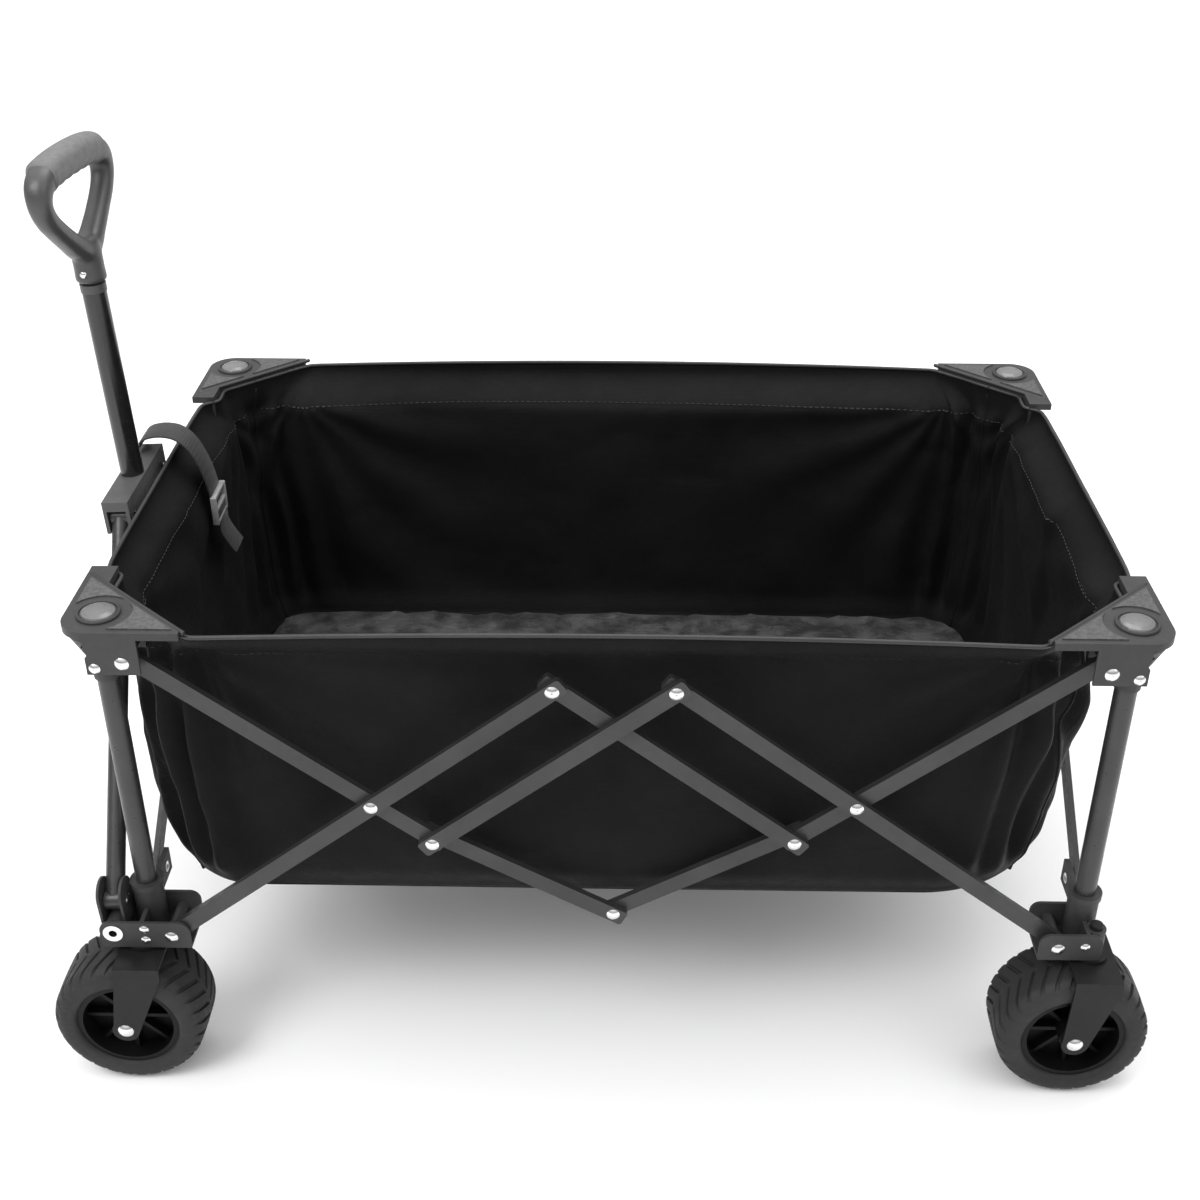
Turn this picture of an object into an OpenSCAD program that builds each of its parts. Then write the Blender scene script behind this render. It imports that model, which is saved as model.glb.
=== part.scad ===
// Folding wagon: four telescoping corner posts, scissor bars on every side,
// fixed wheels at the handle end, swivelling wheels at the far end and a
// pull frame with a telescoping D-grip handle. The handle end is at -X.

/* [Frame] */
// Half the distance along the wagon between the pivots of the side bars
pivot_half_length = 420; // [400:5:430]
// Height of the lower pivots above the ground
low_pivot_z = 170; // [168:1:175]
// Height of the upper pivots above the lower ones
fold_rise = 310; // [300:5:320]
// Half the distance between post axes along the wagon
post_half_length = 447; // [445:1:450]
// Half the distance between post axes across the wagon
post_half_width = 268; // [266:1:270]
// Height of the top of the corner brackets
rim_z = 511; // [508:1:515]
// Outer diameter of the lower, outer posts
post_d = 20; // [19:0.5:21]
// Outer diameter of the upper, sliding posts
inner_post_d = 17; // [16:0.5:17]

/* [Scissor bars] */
// Width of a flat bar
bar_w = 16; // [12:1:18]
// Thickness of a side bar
bar_t = 6.6; // [5:0.1:6.6]
// Thickness of an end bar
end_bar_t = 5.6; // [4:0.1:5.6]
// Diameter of the rivets that the bars turn on
rivet_d = 6; // [5:0.5:7]
// Distance of the outer crossing from the post pivot, as a share of the half length
cross_share = 0.478; // [0.47:0.002:0.48]
// Distance of the upper crossing from the middle, as a share of the half length
mid_share = 0.1275; // [0.12:0.0025:0.13]
// Height of the lowest joint in the middle of each side
low_joint_z = 190; // [186:1:195]

/* [Wheels] */
// Wheel diameter
wheel_d = 146; // [140:1:146]
// Tyre width
tyre_w = 70; // [60:1:70]
// Distance of the wheels' middle plane from the wagon's middle
wheel_y = 291; // [289:1:292]
// Distance of the fixed axles from the middle of the frame
fixed_axle_x = 471; // [468:1:474]
// Distance of the swivel axes from the middle of the frame
swivel_x = 456; // [454:1:458]
// Distance from a swivel axis to its wheel's axle
trail = 12; // [8:1:14]

/* [Pull frame] */
// Distance of the pull frame's swing axis from the middle of the frame
swing_x = 475; // [474:0.5:477]
// Height of the swing axis
swing_z = 175; // [174:0.5:176]
// Lean of the pull frame away from the wagon
lean = 2.3; // [2:0.1:3]
// Diameter of the two legs
leg_d = 18; // [16:0.5:18]
// Diameter of the outer handle tube
handle_d = 23; // [20:0.5:23]
// Diameter of the sliding handle tube
slide_d = 18; // [16:0.5:19]
// Width of the D-grip
grip_w = 150; // [130:2:160]

/* [Basket] */
// Half the length of the fabric basket
basket_half_length = 430; // [425:1:431]
// Half the width of the fabric basket
basket_half_width = 261; // [255:1:262]
// Height of the basket's floor
floor_z = 196; // [194:1:200]
// Thickness of the fabric walls as built
cloth_t = 3; // [2:0.5:4]

/* [Hidden] */
CORNERS = ["fl", "fr", "bl", "br"];
$fn = 64;
steel = "#3c3d40";
plastic = "#26272a";
bright = "#b9bcc0";
black = "#1b1c1e";
grip_grey = "#5d5f62";

// The middle of the frame stands this far to the right of the row's origin,
// which puts the origin under the middle of the whole wagon.
frame_dx = (fixed_axle_x - swivel_x + trail) / 2;
up_pivot_z = low_pivot_z + fold_rise;
reach = cross_share * pivot_half_length;
bar_angle = atan(fold_rise / 2 / reach);
slope = tan(bar_angle);
cross_x = pivot_half_length - reach;
cross_z = low_pivot_z + fold_rise / 2;
mid_x = mid_share * pivot_half_length;
top_z = cross_z + slope * (cross_x - mid_x);
low_x = cross_x - mid_x;
low_z = cross_z - slope * mid_x;
// Half the distance across the wagon between the pivots of the end bars. The
// end bars are as long as the side bars' end pairs, so both fold together.
end_pivot_y = fold_rise / 2 / slope;

// Side bars lie in four layers outside the posts, the first one outermost.
layer_pitch = 7;
first_layer_y = post_half_width + 28.5;
skirt_y = first_layer_y + bar_t / 2 + 0.8;
skirt_t = 3;
// End bars lie in two layers outside the posts, the first one innermost.
first_end_x = post_half_length + 14;
end_pitch = 6;
arm_x = post_half_length + 5.5;
arm_t = 5;
hole_gap = 0.05;

function layer_y(n) = first_layer_y - (n - 1) * layer_pitch;
function end_x(n) = first_end_x + (n - 1) * end_pitch;
function side_of(front) = front ? -1 : 1;

// Places a child at the middle of the frame.
module at_frame() { translate([frame_dx, 0, 0]) children(); }

// Mirrors a child, drawn for the far back corner, to the corner named.
module at_corner(end, side) {
  at_frame() mirror([end < 0 ? 1 : 0, 0, 0]) mirror([0, side < 0 ? 1 : 0, 0]) children();
}

// A rod along Y from y0 to y1 at (x, z).
module y_rod(x, z, y0, y1, d) {
  translate([x, y0, z]) rotate([-90, 0, 0]) cylinder(h = y1 - y0, d = d);
}

// A rod along X from x0 to x1 at (y, z).
module x_rod(y, z, x0, x1, d) {
  translate([x0, y, z]) rotate([0, 90, 0]) cylinder(h = x1 - x0, d = d);
}

// A domed rivet head standing out along +Z from the ground plane.
module rivet_head(d, h) {
  rotate_extrude() intersection() {
    translate([0, h - (d * d / 4 + h * h) / 2 / h]) circle(d = (d * d / 4 + h * h) / h, $fn = 96);
    square([d, h]);
  }
}

// A rivet along Y whose heads close on y0 and y1, drawn for the back side.
module side_rivet(x, z, y0, y1) {
  y_rod(x, z, y0, y1, rivet_d);
  translate([x, y1, z]) rotate([-90, 0, 0]) rivet_head(12.5, 2.4);
  translate([x, y0, z]) rotate([90, 0, 0]) rivet_head(11, 1.5);
}

// A rivet along X whose heads close on x0 and x1, drawn for the right end.
module end_rivet(y, z, x0, x1) {
  x_rod(y, z, x0, x1, rivet_d);
  translate([x1, y, z]) rotate([0, 90, 0]) rivet_head(12, 2);
  translate([x0, y, z]) rotate([0, -90, 0]) rivet_head(11, 1.5);
}

// Outline of a flat bar from p to q, drilled at each hole. Its ends run on past
// p and q by the lengths given and are square, or round where that length is 0.
end_reach = 12;
end_r = 3;
module bar_outline(p, q, holes, past_p, past_q) {
  length = norm(q - p);
  difference() {
    translate(p) rotate(atan2(q[1] - p[1], q[0] - p[0])) union() {
      if (past_p == 0) circle(d = bar_w);
      if (past_q == 0) translate([length, 0]) circle(d = bar_w);
      translate([-max(past_p - end_r, 0), -bar_w / 2])
        square([length + max(past_p - end_r, 0) + max(past_q - end_r, 0), bar_w]);
      translate([-past_p, end_r - bar_w / 2]) square([length + past_p + past_q, bar_w - 2 * end_r]);
      if (past_p > 0) bar_corners(end_r - past_p);
      if (past_q > 0) bar_corners(length + past_q - end_r);
    }
    for (h = holes) translate(h) circle(d = rivet_d + 2 * hole_gap);
  }
}
module bar_corners(x) {
  for (s = [-1, 1]) translate([x, s * (bar_w / 2 - end_r)]) circle(r = end_r, $fn = 32);
}

// A side bar in layer n, with its own rivets, drawn for the back side. An end
// inside a bracket is round. Each rivet is [point, outer layer, inner layer].
module side_bar(p, q, holes, n, rivets) {
  past_p = abs(p[0]) == pivot_half_length ? 0 : end_reach;
  past_q = abs(q[0]) == pivot_half_length ? 0 : end_reach;
  color(steel) translate([0, layer_y(n), 0]) rotate([90, 0, 0])
    linear_extrude(height = bar_t, center = true) bar_outline(p, q, holes, past_p, past_q);
  color(bright) for (r = rivets)
    side_rivet(r[0][0], r[0][1], layer_y(r[2]) - bar_t / 2, layer_y(r[1]) + bar_t / 2);
}

// The pivots of one side, left to right.
left_low = [-pivot_half_length, low_pivot_z];
left_up = [-pivot_half_length, up_pivot_z];
right_low = [pivot_half_length, low_pivot_z];
right_up = [pivot_half_length, up_pivot_z];
left_cross = [-cross_x, cross_z];
right_cross = [cross_x, cross_z];
left_top = [-mid_x, top_z];
right_top = [mid_x, top_z];
left_bottom = [-low_x, low_z];
right_bottom = [low_x, low_z];
lowest = [0, low_joint_z];

module on_side(front) { at_frame() mirror([0, front ? 1 : 0, 0]) children(); }

module bar_a(front) on_side(front)
  side_bar(left_low, left_top, [left_low, left_cross, left_top], 1,
           [[left_cross, 1, 2], [left_top, 1, 2]]);
module bar_b(front) on_side(front)
  side_bar(left_up, left_bottom, [left_up, left_cross, left_bottom], 2, []);
module bar_c(front) on_side(front)
  side_bar(left_bottom, right_top, [left_bottom, right_top], 1,
           [[left_bottom, 1, 3], [right_top, 1, 2]]);
module bar_d(front) on_side(front)
  side_bar(left_top, right_bottom, [left_top, right_bottom], 2, [[right_bottom, 2, 4]]);
module bar_e(front) on_side(front)
  side_bar(right_top, right_low, [right_top, right_cross, right_low], 2,
           [[right_cross, 2, 3]]);
module bar_f(front) on_side(front)
  side_bar(right_up, right_bottom, [right_up, right_cross, right_bottom], 3, []);

// The two bars that meet at the lowest joint. Each carries its own half of
// that rivet, so neither shank passes through the other bar.
module half_rivet(n, out) {
  inner = layer_y(n) - out * bar_t / 2;
  outer = layer_y(n) + out * bar_t / 2;
  color(bright) {
    y_rod(0, low_joint_z, min(inner, outer), max(inner, outer), rivet_d);
    translate([0, outer, low_joint_z]) rotate([-90 * out, 0, 0]) rivet_head(12.5, out > 0 ? 2.4 : 1.5);
  }
}
module bar_g(front) on_side(front) {
  side_bar(left_bottom, lowest, [left_bottom, lowest], 3, []);
  half_rivet(3, 1);
}
module bar_h(front) on_side(front) {
  side_bar(lowest, right_bottom, [lowest, right_bottom], 4, []);
  half_rivet(4, -1);
}

// End bar in layer n, from the low pivot at side s to the high pivot at the
// other side, drawn for the right end.
module end_bar(n, s) {
  low = [s * end_pivot_y, low_pivot_z];
  high = [-s * end_pivot_y, up_pivot_z];
  color(steel) translate([end_x(n), 0, 0]) rotate([90, 0, 90])
    linear_extrude(height = end_bar_t, center = true)
      bar_outline(low, high, [low, high, [0, cross_z]], 0, 0);
  if (n == 1) color(bright)
    end_rivet(0, cross_z, end_x(1) - end_bar_t / 2, end_x(2) + end_bar_t / 2);
}

// Plan outline of a corner bracket: outer corner rounded, gusset inside.
corner_x = post_half_length + 27;
corner_y = skirt_y + skirt_t;
arm_reach_x = corner_x - 106;
arm_reach_y = corner_y - 99;
corner_r = 26;
cap_x = post_half_length - 3;
cap_y = post_half_width + 4;
module corner_plan() {
  polygon([[arm_reach_x, corner_y], [corner_x - corner_r, corner_y],
           [corner_x, corner_y - corner_r], [corner_x, arm_reach_y],
           [corner_x - 8, arm_reach_y], [arm_reach_x, corner_y - 8]]);
  translate([corner_x - corner_r, corner_y - corner_r]) circle(r = corner_r);
}

// Upper corner bracket, drawn for the far back corner. The layer of the side
// bar that it carries is given, so its rivet and spacer reach that bar.
module upper_bracket(bar_layer) {
  color(plastic) difference() {
    union() {
      translate([0, 0, rim_z - 7]) linear_extrude(height = 7) corner_plan();
      // Outer skirt over the side bar's end
      translate([post_half_length - 42, skirt_y, up_pivot_z - 11])
        cube([46, skirt_t, rim_z - 5 - up_pivot_z + 11]);
      // Outer corner, which tapers from the plate down to the post's socket
      hull() {
        translate([corner_x - corner_r, corner_y - corner_r, rim_z - 12]) cylinder(h = 7, r = corner_r - 4);
        translate([post_half_length, post_half_width, up_pivot_z - 11]) cylinder(h = 1, d = 29);
      }
      // Socket of the sliding post
      translate([post_half_length, post_half_width, up_pivot_z - 14])
        cylinder(h = rim_z - 3 - up_pivot_z + 14, d = 27);
      // Web that carries the side bar's rivet inside the bar
      translate([pivot_half_length - 9, post_half_width - 10, up_pivot_z - 9])
        cube([post_half_length - pivot_half_length, 4, rim_z - 4 - up_pivot_z + 9]);
      // Arm along the end that carries the end bar
      translate([arm_x - arm_t / 2, end_pivot_y - 12, up_pivot_z - 11])
        cube([arm_t, post_half_width - end_pivot_y, rim_z - 5 - up_pivot_z + 11]);
      translate([arm_x - arm_t / 2, end_pivot_y - 12, rim_z - 7])
        cube([corner_x - arm_x + arm_t / 2, 40, 7]);
    }
    translate([post_half_length, post_half_width, up_pivot_z - 15]) cylinder(h = 38, d = inner_post_d);
    y_rod(pivot_half_length, up_pivot_z, post_half_width - 12, skirt_y + 5, rivet_d);
    y_rod(post_half_length - 3, up_pivot_z - 5, skirt_y - 1, skirt_y + 5, 5);
    x_rod(end_pivot_y, up_pivot_z, arm_x - 5, arm_x + 5, rivet_d);
    // Blind hole beside the skirt rivet
    y_rod(post_half_length + 6, up_pivot_z + 9, post_half_width + 14, corner_y + 2, 8);
  }
  // Raised pads on the two arms of the gusset
  color(black) translate([0, 0, rim_z]) linear_extrude(height = 1.4) difference() {
    offset(delta = -6) corner_plan();
    translate([cap_x, cap_y]) circle(r = 29);
    translate([cap_x, cap_y]) square([60, 60]);
  }
  // Round post cap: a ring with a dome in it
  color(black) translate([cap_x, cap_y, rim_z]) rotate_extrude()
    polygon([[0, 0], [19, 0], [19, 1.8], [18.2, 2.8], [16.8, 2.8], [16.2, 1.4], [15.4, 1.4],
             [14.4, 3.2], [11, 5], [6, 6.1], [0, 6.5]]);
  // Rivets: side bar pivot with its spacer, skirt rivet, end bar pivot
  color(bright) {
    difference() {
      y_rod(pivot_half_length, up_pivot_z, post_half_width - 6, layer_y(bar_layer) - bar_t / 2 - 0.2, 11);
      y_rod(pivot_half_length, up_pivot_z, post_half_width - 7, layer_y(bar_layer), rivet_d);
    }
    if (bar_layer > 1) difference() {
      y_rod(pivot_half_length, up_pivot_z, layer_y(bar_layer) + bar_t / 2 + 0.2, skirt_y, 11);
      y_rod(pivot_half_length, up_pivot_z, layer_y(bar_layer), skirt_y + 1, rivet_d);
    }
    side_rivet(pivot_half_length, up_pivot_z, post_half_width - 10, skirt_y + skirt_t);
    y_rod(post_half_length - 3, up_pivot_z - 5, skirt_y - 0.8, skirt_y + skirt_t, 5);
    translate([post_half_length - 3, skirt_y + skirt_t, up_pivot_z - 5]) rotate([-90, 0, 0]) rivet_head(10, 2);
    end_rivet(end_pivot_y, up_pivot_z, arm_x - arm_t / 2, end_x(2) + end_bar_t / 2 + 0.3);
  }
}

// Sliding post, held by the upper bracket.
module inner_post() {
  color(steel) translate([post_half_length, post_half_width, 0]) difference() {
    translate([0, 0, low_pivot_z + 32]) cylinder(h = up_pivot_z + 20 - low_pivot_z - 32, d = inner_post_d);
    translate([0, 0, low_pivot_z + 31]) cylinder(h = fold_rise + 20, d = inner_post_d - 2.4);
  }
}

// Outer post with the guide collar at its top, held by the lower bracket.
post_top = up_pivot_z - 34;
module outer_post() {
  color(steel) translate([post_half_length, post_half_width, 0]) difference() {
    translate([0, 0, low_pivot_z - 8]) cylinder(h = post_top - low_pivot_z + 8, d = post_d);
    translate([0, 0, low_pivot_z - 9]) cylinder(h = fold_rise, d = inner_post_d + 2 * hole_gap);
  }
  color(plastic) translate([post_half_length, post_half_width, 0]) difference() {
    translate([0, 0, post_top]) cylinder(h = 17, d = post_d + 4);
    translate([0, 0, post_top - 1]) cylinder(h = 20, d = inner_post_d + 2 * hole_gap);
  }
}

// Lower corner bracket, drawn for the far back corner. The handle end carries
// the pull frame's knuckle, and the other end a boss for the caster's stem.
low_plate_z = low_pivot_z - 13;
inner_cheek_y = post_half_width - 13;
cheek_h = 30;
cheek_r = 10;
module lower_bracket(bar_layer, handle_end) {
  outer_x = handle_end ? swing_x + 13 : post_half_length + 14;
  inner_x = pivot_half_length - 18;
  color(plastic) difference() {
    union() {
      // Outer cheek and the inner one, both with rounded upper corners
      for (y = [skirt_y, inner_cheek_y]) translate([0, y + skirt_t, 0]) rotate([90, 0, 0])
        linear_extrude(height = skirt_t) {
          translate([inner_x, low_plate_z]) square([outer_x - inner_x, cheek_h - cheek_r]);
          translate([inner_x + cheek_r, low_plate_z]) square([outer_x - inner_x - 2 * cheek_r, cheek_h]);
          for (x = [inner_x + cheek_r, outer_x - cheek_r]) translate([x, low_plate_z + cheek_h - cheek_r])
            circle(r = cheek_r);
        }
      // Bottom plate
      translate([inner_x, inner_cheek_y, low_plate_z])
        cube([outer_x - inner_x, skirt_y + skirt_t - inner_cheek_y, 3]);
      // Socket of the outer post
      translate([post_half_length, post_half_width, low_plate_z]) cylinder(h = 56, d = 29);
      translate([post_half_length, post_half_width, low_plate_z + 50]) cylinder(h = 6, d = 32);
      // Rib from the socket to the outer cheek
      translate([post_half_length - 2, post_half_width + 12, low_plate_z])
        cube([4, skirt_y - post_half_width - 12 + 1, cheek_h]);
      // Arm along the end that carries the end bar
      translate([arm_x - arm_t / 2, end_pivot_y - 13, low_pivot_z - 12])
        cube([arm_t, inner_cheek_y + 2 - end_pivot_y + 13, 26]);
      if (!handle_end)
        translate([swivel_x, wheel_y, low_plate_z]) cylinder(h = 30, d = 19);
    }
    translate([post_half_length, post_half_width, low_pivot_z - 8]) cylinder(h = 60, d = post_d);
    y_rod(pivot_half_length, low_pivot_z, inner_cheek_y - 1, skirt_y + 5, rivet_d);
    x_rod(end_pivot_y, low_pivot_z, arm_x - 5, arm_x + 5, rivet_d);
    if (handle_end)
      y_rod(swing_x, swing_z, inner_cheek_y - 1, skirt_y + 5, 14);
    else
      translate([swivel_x, wheel_y, low_plate_z - 1]) cylinder(h = 40, d = 12 + 2 * hole_gap);
  }
  color(bright) {
    // Side bar pivot and its spacers
    side_rivet(pivot_half_length, low_pivot_z, inner_cheek_y, skirt_y + skirt_t);
    difference() {
      y_rod(pivot_half_length, low_pivot_z, inner_cheek_y + 3, layer_y(bar_layer) - bar_t / 2 - 0.2, 11);
      y_rod(pivot_half_length, low_pivot_z, inner_cheek_y, layer_y(bar_layer), rivet_d);
    }
    if (bar_layer > 1) difference() {
      y_rod(pivot_half_length, low_pivot_z, layer_y(bar_layer) + bar_t / 2 + 0.2, skirt_y, 11);
      y_rod(pivot_half_length, low_pivot_z, layer_y(bar_layer), skirt_y + 1, rivet_d);
    }
    // Plate rivets beside the socket
    for (z = handle_end ? [low_pivot_z - 4, low_pivot_z + 9] : [low_pivot_z + 3])
      translate([post_half_length - 2, skirt_y + skirt_t, z]) rotate([-90, 0, 0]) rivet_head(9, 1.8);
    end_rivet(end_pivot_y, low_pivot_z, arm_x - arm_t / 2, end_x(2) + end_bar_t / 2 + 0.3);
    // Hollow eyelet that the pull frame swings on
    if (handle_end) difference() {
      union() {
        y_rod(swing_x, swing_z, inner_cheek_y, skirt_y + skirt_t, 14);
        y_rod(swing_x, swing_z, skirt_y + skirt_t, skirt_y + skirt_t + 1.6, 19);
        y_rod(swing_x, swing_z, inner_cheek_y - 1.6, inner_cheek_y, 19);
      }
      y_rod(swing_x, swing_z, inner_cheek_y - 3, skirt_y + skirt_t + 3, 8);
    }
  }
}

// Wheel fork with its axle, centred on the axle, drawn upright for a wheel at
// wheel_y. The stem is at stem_x from the axle.
crown_z = wheel_d + 3.5;
crown_half = 22;
axle_z = wheel_d / 2;
fork_gap = 2;
axle_d = 8;
module fork(axle_x, stem_x, swivels) {
  half = tyre_w / 2 + fork_gap;
  color(steel) difference() {
    union() {
      for (s = [-1, 1])
        translate([axle_x, wheel_y + s * (half + 1.25) + 1.25, 0]) rotate([90, 0, 0])
          linear_extrude(height = 2.5) {
            translate([0, axle_z]) circle(r = 13);
            polygon([[-12.5, axle_z - 4], [12.5, axle_z - 4],
                     [stem_x - axle_x + crown_half, crown_z - 10], [stem_x - axle_x + crown_half, crown_z + 3],
                     [stem_x - axle_x - crown_half, crown_z + 3], [stem_x - axle_x - crown_half, crown_z - 10]]);
          }
      translate([stem_x - crown_half, wheel_y - half - 2.5, crown_z]) cube([2 * crown_half, 2 * half + 5, 3]);
      // Bearing plate, or spacer on a fixed fork
      translate([stem_x, wheel_y, crown_z + 2]) cylinder(h = low_plate_z - crown_z - 2 - (swivels ? 0.3 : 0), d = 30);
      if (swivels) translate([stem_x, wheel_y, crown_z + 2]) cylinder(h = 40, d = 12);
    }
    y_rod(axle_x, axle_z, wheel_y - half - 4, wheel_y + half + 4, axle_d);
  }
  color(bright) {
    y_rod(axle_x, axle_z, wheel_y - half - 2.5, wheel_y + half + 2.5, axle_d);
    for (s = [-1, 1]) translate([axle_x, wheel_y + s * (half + 2.5), axle_z])
      rotate([-90 * s, 0, 0]) rivet_head(16, 3.4);
  }
}

// Tyre with rounded shoulders and a shallow tread, turned about its axle.
rim_r = 49;
module tyre(axle_x) {
  r = wheel_d / 2;
  w = tyre_w / 2;
  color(black) translate([axle_x, wheel_y, axle_z]) rotate([90, 0, 0]) rotate_extrude()
    polygon(concat([[rim_r, -w + 4], [rim_r, w - 4], [rim_r + 3, w]],
      [for (a = [90 : -15 : 0]) [r - 11 + 11 * cos(a), w - 11 + 11 * sin(a)]],
      [for (a = [0 : -15 : -90]) [r - 11 + 11 * cos(a), -w + 11 + 11 * sin(a)]],
      [[rim_r + 3, -w]]));
}

// Dished plastic hub with a bore for the axle and eight ribs on each face.
module hub(axle_x) {
  w = tyre_w / 2 - 4;
  color(plastic) translate([axle_x, wheel_y, axle_z]) rotate([90, 0, 0]) difference() {
    union() {
      rotate_extrude() polygon([[7, -w], [13, -w], [13, -9], [rim_r - 5, -9], [rim_r - 5, -w], [rim_r, -w],
                                [rim_r, w], [rim_r - 5, w], [rim_r - 5, 9], [13, 9], [13, w], [7, w]]);
      cylinder(h = 2 * w, d = 20, center = true);
      for (a = [0 : 45 : 315]) rotate(a) translate([12, -2, -18]) cube([rim_r - 16, 4, 36]);
    }
    cylinder(h = 3 * w, d = axle_d + 2 * hole_gap, center = true);
  }
}

// The pull frame is drawn in its own plane: u runs up from the swing axis.
leg_y = 281;
leg_low_u = 22;
head_y = 54;
head_u = 316;
clevis_t = 2.5;
clevis_gap = leg_d / 2 + 0.4;
module pull_plane() {
  at_frame() translate([-swing_x, 0, swing_z]) rotate([0, -lean, 0]) children();
}

// Clevis on the eyelet. The back one has no through pin.
module pull_knuckle(front) pull_plane() mirror([0, front ? 1 : 0, 0]) {
  color(plastic) difference() {
    union() {
      y_rod(0, 0, leg_y - 18, leg_y + 17, 21);
      for (s = [-1, 1]) translate([s * (clevis_gap + clevis_t / 2) - clevis_t / 2, leg_y - 16, 0]) {
        cube([clevis_t, 32, leg_low_u + 8]);
        translate([0, 16, leg_low_u + 8]) rotate([0, 90, 0]) cylinder(h = clevis_t, d = 32);
      }
    }
    y_rod(0, 0, leg_y - 19, leg_y + 18, 14 + 2 * hole_gap);
    if (front) x_rod(leg_y, leg_low_u, -20, 20, rivet_d);
  }
  color(bright) {
    if (front) x_rod(leg_y, leg_low_u, -clevis_gap - clevis_t, clevis_gap + clevis_t, rivet_d);
    for (s = [-1, 1]) translate([s * (clevis_gap + clevis_t), leg_y, leg_low_u])
      rotate([0, 90 * s, 0]) rivet_head(11, 1.8);
  }
}

// Leg between the knuckle and the head, with an eye at each end.
module pull_leg(front) pull_plane() mirror([0, front ? 1 : 0, 0]) {
  length = norm([leg_y - head_y, head_u - leg_low_u]);
  tilt = atan2(leg_y - head_y, head_u - leg_low_u);
  color(steel) translate([0, leg_y, leg_low_u]) rotate([tilt, 0, 0]) difference() {
    union() {
      cylinder(h = length, d = leg_d);
      for (h = [0, length]) translate([0, 0, h]) rotate([0, 90, 0])
        cylinder(h = leg_d - 1, d = leg_d + 1, center = true);
    }
    for (h = [0, length]) translate([0, 0, h]) rotate([0, 90, 0])
      cylinder(h = 2 * leg_d, d = rivet_d + 2 * hole_gap, center = true);
  }
}

// Plastic cross head that joins both legs to the handle tube.
module pull_head() pull_plane() {
  half_x = clevis_gap + 3.5;
  color(plastic) difference() {
    union() {
      // Middle block and roof
      translate([-half_x, -37, head_u - 16]) cube([2 * half_x, 74, 35]);
      translate([-half_x, -67, head_u + 11]) cube([2 * half_x, 134, 10]);
      // Cheeks over the legs' eyes
      for (sx = [-1, 1], sy = [-1, 1])
        translate([sx * (clevis_gap + 1.75) - 1.75, sy * 51.5 - 15.5, head_u - 13]) cube([3.5, 31, 25]);
      // Collar of the handle tube below the block
      translate([0, 0, head_u - 26]) cylinder(h = 12, d = handle_d + 2.4);
    }
    translate([0, 0, head_u - 40]) cylinder(h = 120, d = handle_d);
    for (s = [-1, 1]) x_rod(s * head_y, head_u, -20, 20, rivet_d);
  }
  color(bright) for (s = [-1, 1]) {
    x_rod(s * head_y, head_u, -half_x, half_x, rivet_d);
    for (m = [-1, 1]) translate([m * half_x, s * head_y, head_u]) rotate([0, 90 * m, 0]) rivet_head(11, 1.8);
  }
}

handle_low_u = 197;
handle_top_u = 528;
module outer_handle_tube() pull_plane() {
  color(steel) difference() {
    translate([0, 0, handle_low_u]) cylinder(h = handle_top_u - handle_low_u, d = handle_d);
    translate([0, 0, handle_low_u - 1]) cylinder(h = 400, d = slide_d + 2 * hole_gap);
  }
  // Guide ring at the top, just under the grip
  color(plastic) difference() {
    translate([0, 0, handle_top_u]) cylinder(h = 8, d = handle_d + 1.6);
    translate([0, 0, handle_top_u - 1]) cylinder(h = 20, d = slide_d + 2 * hole_gap);
  }
}

slide_low_u = 222;
slide_top_u = 545;
module sliding_handle_tube() pull_plane() color(steel) difference() {
  translate([0, 0, slide_low_u]) cylinder(h = slide_top_u - slide_low_u, d = slide_d);
  translate([0, 0, slide_low_u - 1]) cylinder(h = slide_top_u - slide_low_u - 20, d = slide_d - 3);
}

// D-grip: socket, two spreading arms and a crossbar with round ends. It is
// turned a little on the tube.
grip_u = 652;
grip_bar_d = 30;
grip_turn = 8;
arm_d = 20;
module d_grip() pull_plane() rotate([0, 0, -grip_turn]) {
  color(grip_grey) difference() {
    union() {
      translate([0, 0, 538]) cylinder(h = 42, d1 = 27, d2 = 31);
      for (s = [-1, 1]) hull() {
        translate([0, s * 6, 572]) sphere(d = arm_d + 2, $fn = 32);
        translate([0, s * (grip_w / 2 - arm_d / 2 - 1), grip_u - 20]) sphere(d = arm_d, $fn = 32);
      }
      for (s = [-1, 1]) hull() {
        translate([0, s * (grip_w / 2 - arm_d / 2 - 1), grip_u - 20]) sphere(d = arm_d, $fn = 32);
        translate([0, s * (grip_w / 2 - 14), grip_u - 4]) sphere(d = arm_d + 4, $fn = 32);
      }
      y_rod(0, grip_u, -grip_w / 2 + 15, grip_w / 2 - 15, grip_bar_d);
      for (s = [-1, 1]) translate([0, s * (grip_w / 2 - 15), grip_u]) sphere(d = grip_bar_d);
    }
    translate([0, 0, 530]) cylinder(h = 16, d = slide_d);
  }
  // Screw heads on the socket
  color(bright) for (u = [548, 566]) translate([0, -13.4 - (u - 538) * 0.045, u]) rotate([90, 0, 0]) rivet_head(7, 2.4);
}

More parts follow.
